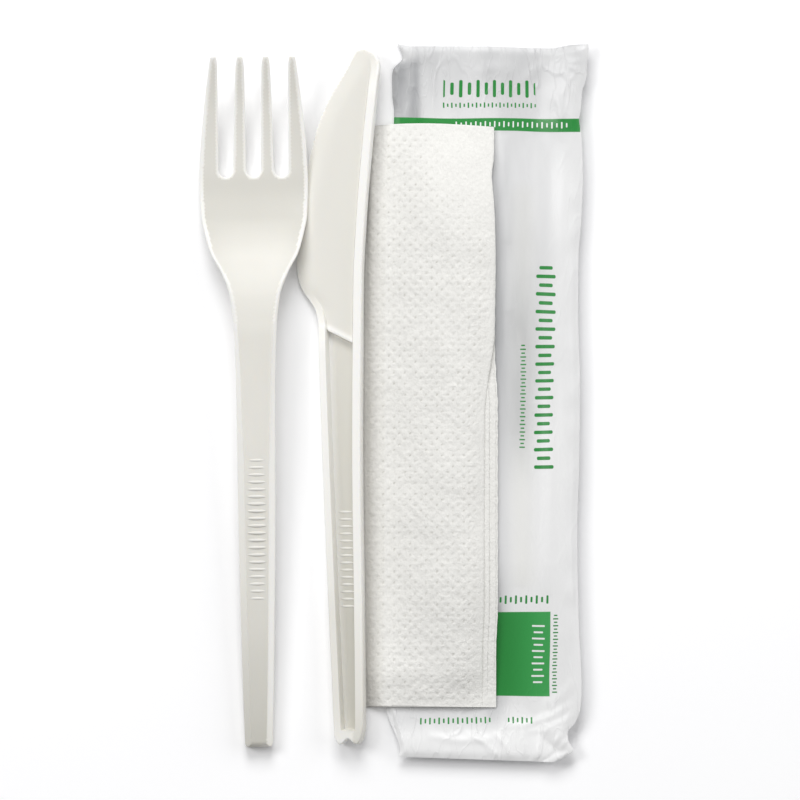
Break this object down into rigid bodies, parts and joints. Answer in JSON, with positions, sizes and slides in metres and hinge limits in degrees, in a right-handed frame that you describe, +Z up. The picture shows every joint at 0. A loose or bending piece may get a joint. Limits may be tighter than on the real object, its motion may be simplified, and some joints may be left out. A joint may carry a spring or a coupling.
{
  "type": "bioplastic cutlery set",
  "caption": "Moulded bioplastic fork and channelled knife, a folded embossed paper napkin and a sealed printed film pack, laid out in one overlapping row.",
  "frame": {"origin": "on the table, under the middle of the set's bounding box", "axes": "+Z up from the table, +Y from the handle ends towards the tines and the knife's tip, +X from the fork towards the film pack"},
  "size_m": [0.093, 0.1714, 0.011],
  "materials": {
    "bioplastic": "off-white moulded bioplastic with a soft satin sheen",
    "tissue_paper": "white one-ply tissue, embossed with a staggered lattice of pin dots",
    "printed_film": "milky white film with green printed bands, lightly wrinkled"
  },
  "bodies": {
    "root": {"fork": "bioplastic", "knife": "bioplastic", "napkin": "tissue_paper", "film_pack": "printed_film"}
  },
  "joints": []
}
